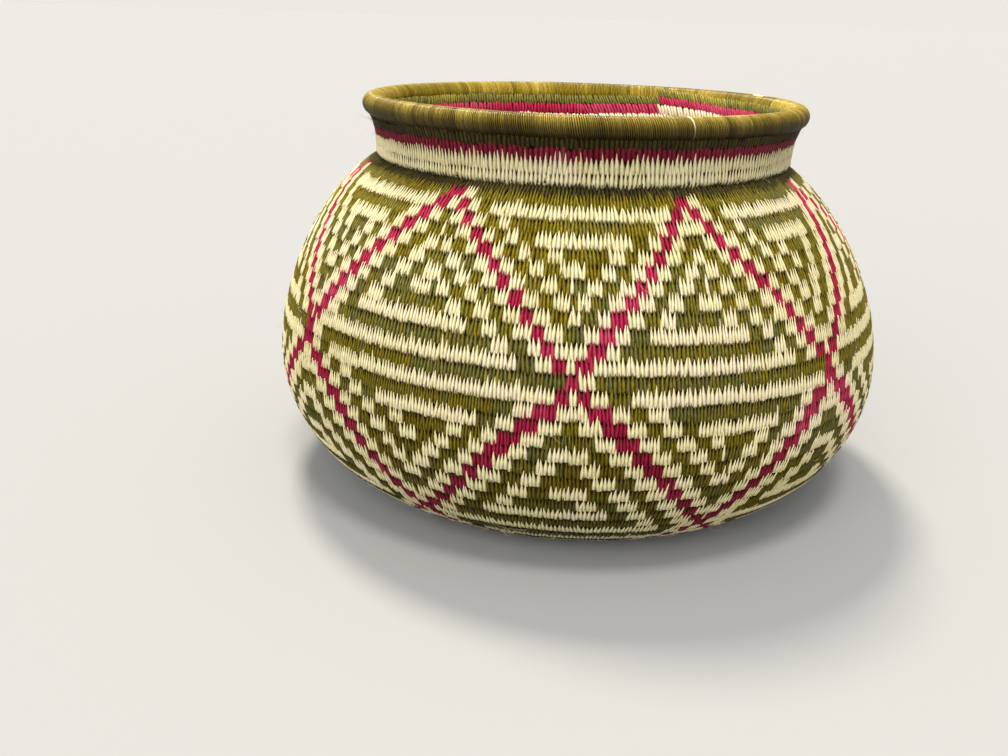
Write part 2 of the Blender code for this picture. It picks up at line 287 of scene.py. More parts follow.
# Rows where a field's bars turn, beside its left and its right line: at the top of the pattern, at
# the crossings, at the feet of the lower legs, and beyond the last row.
TOP_TURN, CROSSING_TURN, FEET_TURN, UNDER_TURN = (-1, 1), (11, 13), (24, 26), (36, 38)
SPARE_SHARE = 0.4  # of a band, left free in the middle of a field of standing bands


def band_colour(row, left_gap, right_gap, bands, turning_rows, spare, bare_row):
    """Cream for an even count of bands from the nearer line's edge, olive for an odd one.

    The count is the gap over that side's width of a band, but at most the rows between this one and
    the row where the bars turn, and no more than fit in half the field with a spare share of a band.
    """
    left_count, right_count = left_gap / bands[0], right_gap / bands[1]
    near_left = left_count < right_count
    reached = np.floor(np.maximum(np.where(near_left, left_count, right_count), 0))
    most = np.where(near_left, abs(row - turning_rows[0]), abs(row - turning_rows[1]))
    middle = np.floor((left_gap + right_gap) / sum(bands) - spare)
    count = np.minimum(np.minimum(reached, most), np.maximum(middle, 0))
    # Row 0 and the bare row have no cream beside the line on their right side.
    bare = (~near_left) & (row in (0, bare_row))
    return np.where((count % 2 == 0) & ~bare, CREAM, OLIVE)


def colours_of(row, side):
    """Colours of stitches of one row, at these angles from the front in degrees."""
    left, right = lines_at(row)
    upper, lower = row <= APEX_ROWS[-1], row > FOOT_ROWS[-1]
    side = (side - left[0] + 180.0) % 360.0 - 180.0 + left[0]
    side = np.where(side < left[0], side + 360.0, side)
    next_left = np.append(left[1:], left[0] + 360.0)
    colour = np.full(len(side), OLIVE)
    halves = np.full((2, len(left)), np.interp(row, LINE_ROWS, LINE_HALVES))
    if upper:
        halves[1, 0] += COARSE_LINE
        inner, outer_band = ((NARROW_BAND, NARROW_BAND), TOP_TURN, 0.0, None), NARROW_BAND
    else:
        inner_turn = UNDER_TURN if lower else FEET_TURN
        inner, outer_band = ((STANDING_BAND, STANDING_BAND), inner_turn, SPARE_SHARE, None), WIDE_BAND
    outer_turn = FEET_TURN if lower else CROSSING_TURN
    for i in range(len(left)):
        bands = (COARSE_BAND if upper and i == 0 else outer_band, outer_band)
        outer, after = (bands, outer_turn, 0.0, APEX_ROWS[-1]), (i + 1) % len(left)
        for start, end, start_half, end_half, field in (
                (left[i], right[i], halves[0, i], halves[1, i], inner),
                (right[i], next_left[i], halves[1, i], halves[0, after], outer)):
            here = (side >= start) & (side < end)
            gaps = side[here] - start - start_half, end - side[here] - end_half
            colour[here] = band_colour(row, *gaps, *field)
    lines = np.concatenate([left, right, left + 360.0, right + 360.0])
    on_line = (abs(side[:, None] - lines) < np.tile(halves.ravel(), 2)).any(axis=1)
    return np.where(on_line, CRIMSON, colour)


# %% [markdown]
# ## Stitch after stitch along the bundle
# The strand goes round the bundle about every millimetre and a half, never quite evenly. Stitches are
# counted along the whole spiral at once, and each gets its width, the reach of its tip, a slant and
# a tone. One strand of leaf makes a dozen stitches or two, so tones come in short runs.

# %% The stitches' places, colours and tones
STITCH_PITCH = 1.34 * MM
NECK_PITCH = 1.62 * MM
PITCH_WAVES = ((0.09, 2.7, 1.0), (0.07, 7.1, 0.0), (0.05, 19.3, 0.0))  # share, radians a turn, start
PLACE_JITTER = 0.08  # of the pitch, either way
FINE_STEPS = 720  # a turn, over which the bundle's length is added up
LAST_TURN = WALL_ROUNDS + 4.75  # where the stitches end, under the rim
random = np.random.default_rng(7)


def stitch_turns():
    """Turns at each stitch: the bundle's length over an uneven pitch, counted in whole numbers."""
    fine = np.arange(START, LAST_TURN, 1 / FINE_STEPS)
    length = 2 * np.pi * np.interp(fine, TURNS, RADII) / FINE_STEPS
    waves = sum(share * np.sin(fine * speed + start) for share, speed, start in PITCH_WAVES)
    pitch = np.where(fine < WALL_ROUNDS, STITCH_PITCH, NECK_PITCH) * (1 + waves)
    count = np.cumsum(length / pitch)
    number = np.arange(int(count[-1]))
    return np.interp(number + random.uniform(-PLACE_JITTER, PLACE_JITTER, len(number)), count, fine)


NECK_CREAM_ROWS, NECK_CRIMSON_ROW = (-2, -3), -4  # rows above row 0, and those left are dark
BASE_CREAM_ROUNDS = (-2, -3, -8)  # turns before the foot, and the rest are olive
turn = stitch_turns()
stitches = len(turn)
row_of = (TOP_ROW - 1 - np.floor(turn)).astype(int)
angle_of = np.degrees(side_at(turn)) % 360.0
# Stitches given no colour below stay dark: the row at the crease, and the top rows under the rim, which are
# olive drawn dark as painted shade.
colour_of = np.full(stitches, DARK)
for row in range(TOP_ROW):
    here = row_of == row
    colour_of[here] = colours_of(row, angle_of[here])
colour_of[np.isin(row_of, NECK_CREAM_ROWS)] = CREAM
colour_of[row_of == NECK_CRIMSON_ROW] = CRIMSON
in_base = turn < 0
colour_of[in_base] = np.where(np.isin(np.floor(turn[in_base]), BASE_CREAM_ROUNDS), CREAM, OLIVE)
print(stitches, "stitches, olive, cream, crimson and dark:", [int((colour_of == c).sum()) for c in range(4)])

# %% Shades and tones
DYED_TURNS = (0.0, 7.0, 14.0, 20.0, 30.0, 33.0, 35.0, 36.0, 38.0)
DYED_PAINTED_SHADE = (0.25, 0.43, 0.58, 0.77, 1.0, 0.95, 0.8, 0.6, 0.5)  # painted shade: darker towards the bottom and under the rim, lightest on the shoulder
# Painted light and shade on the cream: darker at the bottom and under the rim, lighter low on the belly.
CREAM_TURNS = (0, 4, 8, 12, 17, 21, 26, 33, 34)
CREAM_PAINTED_LIGHT = (0.86, 0.95, 1.07, 1.05, 0.97, 0.96, 1.0, 1.0, 0.86)
# Painted shadow of the rim on the neck's crimson row.
NECK_CRIMSON_PAINTED_SHADOW = 0.34
NEW_STRAND = 1 / 14  # chance that a stitch starts a new strand of leaf
PATCH_SHARE, STRAND_SHARE, OWN_SHARE = 0.42, 0.26, 0.32  # what the tone of a stitch is made of
on_neck = turn > WALL_ROUNDS
# Each stitch's painted light and shade, by its turn and its colour.
painted_light_of = np.where(colour_of == CREAM, np.interp(turn, CREAM_TURNS, CREAM_PAINTED_LIGHT),
                    np.interp(turn, DYED_TURNS, DYED_PAINTED_SHADE))
painted_light_of[(colour_of == CRIMSON) & on_neck] = NECK_CRIMSON_PAINTED_SHADOW
run = np.cumsum(random.random(stitches) < NEW_STRAND)
# Patches of many rows are cooler or warmer than those beside them.
patch = 0.5 + 0.16 * np.sin(angle_of / 7.3 + row_of * 0.9)
patch = patch + 0.34 * np.sin(angle_of / 17 - row_of * 0.37 + 4.42)
tone_of = (PATCH_SHARE * patch + STRAND_SHARE * random.random(run[-1] + 1)[run]
           + OWN_SHARE * random.random(stitches))
print(run[-1] + 1, "strands of leaf")

# %% Points, slants and lifts
TIP, TIP_SPREAD = 0.10, 0.24  # rows that a point reaches past the row's edge
LONG_TIP, LONG_TIP_CHANCE = 0.35, 0.05
NECK_TIPS = (0.30, 0.95)
TIP_ANGLES, TIP_SHARES = (25.0, 50.0), (1.0, 0.35)  # the neck's points are shorter at its sides
WALL_FULL, NECK_FULL, FULL_SPREAD = 0.42, 0.27, 0.07  # share of a stitch that lies below its point
DYED_NECK_TIP, DYED_NECK_FULL = 0.4, 0.50  # share of the tip, and share added below it
BEND = 0.16 * MM  # sideways at the tip
SLANT_SWAY, SLANT_MEAN, SLANT_SPREAD = 0.22, -0.12, 0.18
NECK_SLANT = 0.4  # share of the slant that is left on the neck
SLANT_ANGLES, SLANTS_LESS = (0.0, 35.0), (0.0, 0.4)  # its right side leans to the left as well
LIFT_WAVE, LIFT_SPREAD = 0.032, 0.045  # rows
gap = np.gradient(turn) * 2 * np.pi * np.interp(turn, TURNS, RADII)
from_front = (angle_of + 180.0) % 360.0 - 180.0
tip_of = TIP + TIP_SPREAD * random.random(stitches) + LONG_TIP * (random.random(stitches) < LONG_TIP_CHANCE)
tip_of[on_neck] = random.uniform(*NECK_TIPS, on_neck.sum())
tip_of[on_neck] *= np.interp(abs(from_front[on_neck]), TIP_ANGLES, TIP_SHARES)
full_of = np.where(on_neck, NECK_FULL, WALL_FULL) + random.uniform(-FULL_SPREAD, FULL_SPREAD, stitches)
neck_dyed = on_neck & (colour_of != CREAM)
tip_of[neck_dyed] *= DYED_NECK_TIP
full_of[neck_dyed] += DYED_NECK_FULL
bend_of = random.normal(0, BEND, stitches)
slant_of = SLANT_SWAY * np.sin(angle_of / 40.0 - 0.3) + SLANT_MEAN + random.normal(0, SLANT_SPREAD, stitches)
slant_of[on_neck] = NECK_SLANT * slant_of[on_neck] - np.interp(from_front[on_neck], SLANT_ANGLES, SLANTS_LESS)
wave = np.sin(angle_of / 5.3 + row_of * 1.7) + np.sin(angle_of / 2.1 + row_of * 4.1)
wave += np.sin(angle_of / 13 + row_of)
lift_of = np.where(turn < 1, 0, LIFT_WAVE * wave + random.normal(0, LIFT_SPREAD, stitches))
print("points reach", round(float(tip_of.max()), 2), "of a row past the edge at most")

# %% [markdown]
# ## One mesh for many stitches
# A stitch is a slim body with a blunt lower end, a full middle and a long point that lies on the row
# above. Its rings have four points: left edge, crown, right edge and underside. All the rings of all
# the stitches of a piece are worked out in one array.

# %% From arrays to a mesh
def new_mesh_object(name, points, faces, across=None, along=None, tones=None, shades=1.0):
    """A smooth mesh from an array of points and one of four-sided faces.

    across and along give each point's place on the strand for the map "strand", and tones and
    shades its attributes "tone" and "shade", the shade being a factor of painted light and shade.
    Each is spread over all the points.
    """
    shape, points = points.shape[:-1], points.reshape(-1, 3)
    mesh = bpy.data.meshes.new(name)
    mesh.vertices.add(len(points))
    mesh.vertices.foreach_set("co", points.astype(np.float32).ravel())
    mesh.loops.add(faces.size)
    mesh.loops.foreach_set("vertex_index", faces.astype(np.int32).ravel())
    mesh.polygons.add(len(faces))
    mesh.polygons.foreach_set("loop_start", np.arange(0, faces.size, 4, dtype=np.int32))
    mesh.polygons.foreach_set("use_smooth", np.ones(len(faces), bool))
    if across is not None:
        across, along, tones, shades = (np.broadcast_to(values, shape).ravel().astype(np.float32)
                                        for values in (across, along, tones, shades))
        strand = mesh.uv_layers.new(name="strand")
        strand.uv.foreach_set("vector", np.stack([across, along], axis=-1)[faces.ravel()].ravel())
        for attribute, values in (("tone", tones), ("shade", shades)):
            mesh.attributes.new(attribute, "FLOAT", "POINT").data.foreach_set("value", values)
    mesh.update(calc_edges=True)
    mesh.validate()
    thing = bpy.data.objects.new(name, mesh)
    bpy.context.scene.collection.objects.link(thing)
    return thing


def end_fans(rings, around):
    """Four-sided faces that close both ends of a many-sided tube, each fanned from one point."""
    fans = []
    for start, step in ((0, -1), ((rings - 1) * around, 1)):
        ring = start + np.arange(around)[::step]
        fans += [[ring[0], ring[i], ring[i + 1], ring[i + 2]] for i in range(1, around - 2, 2)]
    return fans


def tube_faces(count, rings, around, closed=False):
    """Faces of many tubes at once, as rows of four point numbers.

    An open tube of four sides gets its two end faces. A closed one runs back into its first ring.
    """
    ring, spot = np.meshgrid(np.arange(rings - (0 if closed else 1)), np.arange(around), indexing="ij")
    after, beside = (ring + 1) % rings, (spot + 1) % around
    one = np.stack([ring * around + spot, ring * around + beside,
                    after * around + beside, after * around + spot], axis=-1).reshape(-1, 4)
    if not closed and around == 4:
        last = (rings - 1) * 4
        one = np.vstack([one, [[3, 2, 1, 0]], [[last, last + 1, last + 2, last + 3]]])
    return (one[None] + np.arange(count)[:, None, None] * rings * around).reshape(-1, 4)


# %% [markdown]
# ## A flat map for baking
# The colours can be baked into pictures through a map. Blender could unwrap thousands of slim bodies
# by itself, but slowly, so each stitch gets its own small cell of the map here.

# %% Cells on the map
VISIBLE_EDGES = np.array([0.0, 0.40, 0.80, 0.90, 1.0])  # the two upper sides get most of a cell
CAP_START = 0.94  # of a cell's height: the end faces lie above it
CAP_GAP = 0.01  # of a cell's height, between the stretch and the end faces
CAP_STEP, CAP_WIDTH = 0.55, 0.4  # of a cell's width, from one end face to the next, and for each
FAN_WIDTH = 0.9  # of its square, for a face in the end of a many-sided tube
CELL_INSET = 0.06  # of a cell, left free all round
COLUMNS_TO_ROWS = 1.6


def bake_map(piece, tubes, steps, around, cell_steps, ends=0):
    """Lays each stretch of a tube into its own cell: round it goes across, along it goes up.

    Cells stand in columns and rows of one square. End faces are squares above the stretch, and the
    ends of a many-sided tube share one more cell.
    """
    step, spot = np.divmod(np.arange(steps * around), around)
    edges = VISIBLE_EDGES if around == 4 else np.linspace(0.0, 1.0, around + 1)
    low = (step % cell_steps) / cell_steps * CAP_START
    high = low + CAP_START / cell_steps
    u = np.stack([edges[spot], edges[spot + 1], edges[spot + 1], edges[spot]], axis=1)
    v = np.stack([low, low, high, high], axis=1)
    cell = step // cell_steps
    caps = (len(piece.data.polygons) - ends) // tubes - steps * around
    cells = int(cell[-1]) + 1
    for i in range(caps):
        start = CAP_STEP * i
        u = np.vstack([u, [[start, start + CAP_WIDTH, start + CAP_WIDTH, start]]])
        v = np.vstack([v, [[CAP_START + CAP_GAP] * 2 + [1.0] * 2]])
        cell = np.append(cell, cells - 1)
    u, v = np.tile(u, (tubes, 1)), np.tile(v, (tubes, 1))
    cell = (cell + np.arange(tubes)[:, None] * cells).ravel()
    total = tubes * cells
    if ends:
        side = int(np.ceil(np.sqrt(ends)))
        row, column = np.divmod(np.arange(ends), side)
        u = np.vstack([u, (column[:, None] + [0.0, FAN_WIDTH, FAN_WIDTH, 0.0]) / side])
        v = np.vstack([v, (row[:, None] + [0.0, 0.0, FAN_WIDTH, FAN_WIDTH]) / side])
        cell = np.append(cell, np.full(ends, total))
        total += 1
    columns = int(np.ceil(np.sqrt(total * COLUMNS_TO_ROWS)))
    rows = int(np.ceil(total / columns))
    row, column = np.divmod(cell, columns)
    u = (column[:, None] + CELL_INSET + u * (1 - 2 * CELL_INSET)) / columns
    v = (row[:, None] + CELL_INSET + v * (1 - 2 * CELL_INSET)) / rows
    layer = piece.data.uv_layers.new(name="OFBake")
    layer.uv.foreach_set("vector", np.stack([u, v], axis=-1).astype(np.float32).ravel())
    return piece


# %% The shape of a stitch
# Its lower end goes under the points of the row below, and fills the spaces between them.
TUCKED = np.array([0.16, 0.05, 0.14, 0.16])  # of the length, for olive, cream, crimson and dark
LOWER_RING = 0.07  # of the length, the first ring above the tucked end
OUTER_POINT = np.array([0.0, 0.26, 0.54, 0.80, 1.0])  # of the point's length
OUTER_WIDTH = np.array([1.0, 1.05, 1.06, 0.90, 0.60, 0.29, 0.04])
OUTER_CROWN = np.array([0.70, 0.96, 1.00, 1.00, 1.01, 1.05, 1.00])
# Painted light along a stitch: painted shade on the tucked end under the points below, a little lighter at
# the tip.
OUTER_PAINTED_LIGHT = np.array([0.50, 0.95, 1.0, 1.0, 1.0, 1.04, 1.08])
INNER_ALONG = np.array([0.0, 0.16, 0.84, 1.0])
INNER_WIDTH = np.array([0.75, 1.02, 1.02, 0.45])
INNER_CROWN = np.array([0.60, 0.97, 0.99, 0.80])
CROWN_HEIGHT = 0.26 * MM  # from a stitch's edge to its crown
CROWN_LEAST = 0.35  # of that height, at a ring of no width
UNDERSIDE = 0.45 * MM  # from its edge to its underside
NARROWEST, WIDEST = 0.9 * MM, 2.2 * MM
HALF_BODY = 0.49  # rows from a stitch's middle to either end of its body
INNER_TIP = 0.2  # rows that it reaches past that inside
SLANT_REACH = 1.6 * MM  # sideways in a row, at a slant of one
INNER_SLANT = -2.5  # slants inside over those outside
LEAST_RADIUS = 4 * MM  # for turning widths into angles near the knot
EDGE_PAINTED_SHADE = {OLIVE: 0.50, CREAM: 0.82, CRIMSON: 0.60, DARK: 0.50}  # painted shade in the grooves
CROWN_PAINTED_HIGHLIGHT = {OLIVE: 1.25, CREAM: 1.10, CRIMSON: 1.25, DARK: 1.20}  # painted highlight on the crowns
INNER_SHIFT = 0.8  # rows that the neck's stitches sit higher inside
SEAM_SHIFT, SEAM_REACH = 0.5, 26.0  # rows more at the seam, and degrees from it where they end
SHIFT_BELOW, SHIFT_ROWS = 3, 4  # rows under the crease where the shift starts, rows over which it grows
INNER_TONE_LIFT = 0.50  # share of the way to the lightest tone by which inner tones are lifted
# Painted light inside: at least this much in the bowl, and lighter on the neck, where light falls on the
# inside.
INNER_LEAST_PAINTED_LIGHT = 0.8
INNER_NECK_PAINTED_LIGHT = {OLIVE: 1.6, CREAM: 1.22, CRIMSON: 1.1, DARK: 1.22}


def stitch_points(chosen, outside=True):
    """Rings of four points for each chosen stitch, as an array of stitch, ring, point and x, y, z.

    A ring lies at the stitch's turn plus its share of the stitch's height. Its points lie left,
    on top, right and below: half the width sideways, and the crown's depth outwards, less the
    height of the crown for the edges.
    """
    if outside:
        full = full_of[chosen, None]
        along = np.hstack([-TUCKED[colour_of[chosen], None], np.full_like(full, LOWER_RING),
                           full + (1 - full) * OUTER_POINT])
        wide, crown, sign, line = OUTER_WIDTH, OUTER_CROWN, 1, OUTSIDE
    else:
        along, wide, crown, sign, line = INNER_ALONG, INNER_WIDTH, INNER_CROWN, -1, INSIDE
    tip = tip_of[chosen, None] if outside else INNER_TIP
    rise = lift_of[chosen, None] - HALF_BODY + along * (2 * HALF_BODY + tip)
    turns = turn[chosen, None] + rise
    if not outside:
        climb = np.clip((turns - WALL_ROUNDS + SHIFT_BELOW) / SHIFT_ROWS, 0, 1)
        from_seam = abs((angle_of[chosen, None] - SEAM + 180.0) % 360.0 - 180.0)
        shift = INNER_SHIFT + SEAM_SHIFT * np.clip(1 - from_seam / SEAM_REACH, 0, 1)
        turns = turns + shift * climb ** 2 * (3 - 2 * climb)
    width = np.clip(gap[chosen, None], NARROWEST, WIDEST) * wide
    radius = np.maximum(np.interp(turns, line[0], line[1]), LEAST_RADIUS)
    lean_over = slant_of[chosen, None] * rise * SLANT_REACH * (1 if outside else INNER_SLANT)
    lean_over = lean_over + bend_of[chosen, None] * along ** 3
    side = side_at(turn[chosen, None]) + lean_over / radius
    depth = depth_at(turns) * crown * sign
    height = CROWN_HEIGHT * np.minimum(1.0, CROWN_LEAST + wide) * sign
    half = width / 2 / radius * sign
    points = [place(turns, side - half, depth - height, line),
              place(turns, side, depth, line),
              place(turns, side + half, depth - height, line),
              place(turns, side, depth - height - UNDERSIDE * sign, line)]
    return np.stack(points, axis=2), width


# %% Stitches of one colour and band
STRAND_STEP = 3.7  # millimetres of the map from strand to strand, so that no two are alike


def stitch_piece(name, chosen, colour, outside=True):
    """One mesh of the chosen stitches, mapped across and along each strand in millimetres."""
    points, width = stitch_points(chosen, outside)
    count, rings = points.shape[:2]
    across = np.array([-0.5, 0.0, 0.5, 0.0]) * width[..., None] / MM
    across = across + (chosen * STRAND_STEP)[:, None, None]
    steps = np.linalg.norm(np.diff(points[:, :, 1], axis=1), axis=-1) / MM
    along = np.concatenate([np.zeros((count, 1)), np.cumsum(steps, axis=1)], axis=1)
    tones = tone_of if outside else INNER_TONE_LIFT + (1 - INNER_TONE_LIFT) * tone_of
    inner_painted_light = np.where(on_neck, INNER_NECK_PAINTED_LIGHT[colour], np.maximum(painted_light_of, INNER_LEAST_PAINTED_LIGHT))
    shades = painted_light_of if outside else inner_painted_light
    edge, crest = EDGE_PAINTED_SHADE[colour], CROWN_PAINTED_HIGHLIGHT[colour]
    shades = shades[chosen][:, None, None] * np.array([edge, crest, edge, edge])
    if outside:
        shades = shades * OUTER_PAINTED_LIGHT[:, None]
    piece = new_mesh_object(name, points, tube_faces(count, rings, 4), across, along[..., None],
                            tones[chosen][:, None, None], shades)
    return bake_map(piece, count, rings - 1, 4, rings - 1)


COLOUR_NAMES = {OLIVE: "olive", CREAM: "cream", CRIMSON: "crimson", DARK: "dark"}
INNER_END = WALL_ROUNDS + 4  # turns, where the rim starts to cover the inside
BANDS = {"base": (START, 0), "foot": (0, 11), "belly": (11, 22), "shoulder": (22, 33), "neck": (33, 39)}
stitch_pieces = []
# Inside, the top rows under the rim are olive; outside they stay dark as painted shade of the rim.
inner_colour_of = np.where(turn > WALL_ROUNDS + 3, OLIVE, colour_of)
for colour, colour_name in COLOUR_NAMES.items():
    for band, (first, last) in BANDS.items():
        for outside in (True, False):
            dyes = colour_of if outside else inner_colour_of
            end = last if outside else min(last, INNER_END)
            chosen = np.flatnonzero((dyes == colour) & (turn >= first) & (turn < end))
            if len(chosen):
                name = f"{colour_name}_{band}_{'outer' if outside else 'inner'}_stitches"
                stitch_pieces.append((stitch_piece(name, chosen, colour, outside), colour))
print(len(stitch_pieces), "pieces,", sum(2 * len(p.data.polygons) for p, _ in stitch_pieces), "triangles")

# %% [markdown]
# ## The bundle under the stitches
# Between the tips of the stitches the bundle shows in dark hollows, and its colour is painted dark
# for the shade there. It is a plain tube with the section of a round, a little thinner than the
# stitched round, and one piece for each round.

# %% The bundle, round by round
BUNDLE_SIDES = 10
BUNDLE_SHARE = 0.72  # of the stitched depth
BUNDLE_RISE = 0.46  # rows from its middle to its top
BUNDLE_STEPS = 90  # a turn
BUNDLE_MAP = (12, 600)  # millimetres of the map, once round the bundle and along a turn
CELL_STEPS = 12  # steps of a tube in one cell of the flat map


def bundle_piece(name, first, last):
    """A closed tube along the spiral: at each turn an ellipse, nearly a row high, round the middle."""
    steps = int(round((last - first) * BUNDLE_STEPS))
    turns = np.linspace(first, last, steps + 1)
    angle = np.arange(BUNDLE_SIDES) / BUNDLE_SIDES * 2 * np.pi
    out = depth_at(turns)[:, None] * BUNDLE_SHARE * np.cos(angle)
    points = place(turns[:, None] + BUNDLE_RISE * np.sin(angle), side_at(turns)[:, None], out)
    ends = end_fans(steps + 1, BUNDLE_SIDES)
    faces = np.vstack([tube_faces(1, steps + 1, BUNDLE_SIDES), ends])
    # On the neck the bundle gets half the shade factor: painted shade in the gaps under the rim.
    piece = new_mesh_object(name, points, faces, angle / angle[-1] * BUNDLE_MAP[0],
                            (turns * BUNDLE_MAP[1])[:, None], 0.5, 0.5 if first >= WALL_ROUNDS else 1.0)
    return bake_map(piece, 1, steps, BUNDLE_SIDES, CELL_STEPS, len(ends))


bundle_pieces = []
rounds = [("base_coil", START, 0)]
rounds += [(f"wall_round_{i:02d}", i - 1, i) for i in range(1, WALL_ROUNDS + 1)]
rounds += [(node, WALL_ROUNDS + i, WALL_ROUNDS + i + 1)
           for i, node in enumerate(("neck_cream_lower", "neck_cream_upper", "neck_crimson", "neck_olive"))]
rounds += [("coil_tail", WALL_ROUNDS + 4, WALL_ROUNDS + 4.7)]
for node, first, last in rounds:
    piece = bundle_piece(node + "_bundle", first, last)
    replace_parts(piece, node)
    bundle_pieces.append(piece)
print(len(bundle_pieces), "rounds of bundle")

# %% [markdown]
# ## The rim
# The last bundle is thicker. A fine strand with a soft gloss is wound round it, some eight hundred
# turns side by side. It is made as six closed helices on a ring, and its tone changes in short runs.

# %% The rim's wound strand
RIM_STRANDS = 6  # strands wound side by side, which gives their turns a lean
RIM_TURNS = 135  # turns of each of them round the roll
RIM_ASIDE = -0.7 * MM  # the rim's middle lies a little to the left
RIM_AROUND = (-90, -45, 0, 35, 60, 90, 180, 225, 250, 270)  # degrees round the roll, from outward
RIM_PAINTED_LIGHT = (0.12, 0.15, 0.38, 1.0, 1.35, 1.3, 2.1, 2.15, 1.3, 0.32)
RIM_GROOVE, RIM_CROWN = 0.45, 1.2  # painted shade in the grooves between turns and painted highlight on their crowns
RIM_HALF = 0.53  # of the pitch: neighbouring turns overlap a little
RIM_EDGE, RIM_UNDER = 0.22 * MM, 0.6 * MM  # depth of a strand's edges and underside below its crown
RIM_TONE, RIM_RUN_SHARE, RIM_OWN_SHARE = 0.2, 0.3, 0.28  # least tone, and what is drawn on top of it
RIM_NEW_RUN = 1 / 9  # chance that the tone changes at a turn
PALE_MIDDLE, PALE_HALF = (116.0, 75.0), (3.9, 32.0)  # degrees round the rim and round its roll
PALE_TURN = 50  # the one turn of strand that was never dyed
RIM_STEPS = 18  # points a turn
rim_places = RIM_STRANDS * RIM_TURNS
rim_pitch = 2 * np.pi * RIM_RADIUS / rim_places


def rim_place(side, around, out):
    """Points on a ring: at an angle round its roll, this far from the roll's middle."""
    radius = RIM_RADIUS + out * np.cos(around)
    height = RIM_HEIGHT + out * np.sin(around) + 0 * side
    return np.stack([radius * np.sin(side) + RIM_ASIDE, -radius * np.cos(side), height], axis=-1)


def rim_strand():
    """Closed helices round the ring: the side grows evenly while each strand goes round the roll."""
    number = np.arange(RIM_TURNS * RIM_STEPS)[None] / RIM_STEPS
    position = number * RIM_STRANDS + np.arange(RIM_STRANDS)[:, None]
    share = position / rim_places * 2 * np.pi
    drift = 0.5 * np.sin(share * 23) + 0.3 * np.sin(share * 61 + 1.0)
    side = share + drift * rim_pitch / RIM_RADIUS
    around = -number * 2 * np.pi + 0 * position
    half = RIM_HALF * rim_pitch / RIM_RADIUS
    crown = RIM_ROLL + 0.05 * MM * np.sin(position * 2.3)
    points = np.stack([rim_place(side - half, around, crown - RIM_EDGE), rim_place(side, around, crown),
                       rim_place(side + half, around, crown - RIM_EDGE),
                       rim_place(side, around, crown - RIM_UNDER)], axis=2)
    # A turn is counted from the underside, where its tone may change unseen.
    wound = (np.floor(number - 0.25) * RIM_STRANDS + np.arange(RIM_STRANDS)[:, None]).astype(int) % rim_places
    run = np.cumsum(random.random(rim_places) < RIM_NEW_RUN)
    tones = RIM_TONE + RIM_RUN_SHARE * random.random(run[-1] + 1)[run]
    tones = (tones + RIM_OWN_SHARE * random.random(rim_places))[wound]
    round_roll = (np.degrees(around) + 90.0) % 360.0 - 90.0
    # Within an ellipse on the crest the dye is rubbed off, and one turn was never dyed.
    from_middle = ((np.degrees(side) - PALE_MIDDLE[0]) / PALE_HALF[0]) ** 2
    from_middle = from_middle + ((round_roll - PALE_MIDDLE[1]) / PALE_HALF[1]) ** 2
    tones = np.where((from_middle < 1) | (wound == PALE_TURN), 1.0, tones)
    across = np.array([-0.45, 0.0, 0.45, 0.0]) + (wound * 2.3)[..., None]
    along = (number * 2 * np.pi * RIM_ROLL / MM)[..., None]
    # Painted light round the roll: a painted highlight on the crest, lighter on the inward side, painted
    # shade on the underside.
    grooves = np.array([RIM_GROOVE, RIM_CROWN, RIM_GROOVE, RIM_GROOVE])
    shades = np.interp(round_roll, RIM_AROUND, RIM_PAINTED_LIGHT)[..., None] * grooves
    faces = tube_faces(RIM_STRANDS, RIM_TURNS * RIM_STEPS, 4, closed=True)
    strand = new_mesh_object("rim_strand", points, faces, across, along, tones[..., None], shades)
    return bake_map(strand, RIM_STRANDS, RIM_TURNS * RIM_STEPS, 4, RIM_STEPS)


# %% The rim's bundle
RING_SHAPE = (120, 14)  # points of the rim's bundle along the ring and round the roll
RING_DEPTH = 0.45 * MM  # from the crowns of the strand to the bundle
RING_MAP = (4.0, 88.0)  # millimetres of the map a radian, round the roll and along the ring


def rim_bundle():
    """A plain ring under the strand: circles round the roll's middle."""
    side, around = (np.arange(count) / count * 2 * np.pi for count in RING_SHAPE)
    points = rim_place(side[:, None], around[None], RIM_ROLL - RING_DEPTH)
    ring = new_mesh_object("rim_bundle", points, tube_faces(1, *RING_SHAPE, closed=True),
                           around * RING_MAP[0], side[:, None] * RING_MAP[1], 0.5)
    return bake_map(ring, 1, *RING_SHAPE, CELL_STEPS)


rim_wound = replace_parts(rim_strand(), "rim_wrap")
rim_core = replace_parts(rim_bundle(), "rim_core")
print(rim_places, "turns of strand round the rim, one each", round(rim_pitch / MM, 2), "mm")

# %% [markdown]
# ## Stray fibres
# Split leaf frays, and a used basket is a little hairy, most of all under the rim and low on the
# belly. Each hair is a thin bent tube that starts between two stitches and stands off the wall.

# %% Hairs
HAIR_RINGS = 7
HAIR_RADIUS = 0.075 * MM  # at the root
HAIR_ROOT = 0.3 * MM  # under the crowns of the stitches
ROW_HEIGHT = 5 * MM


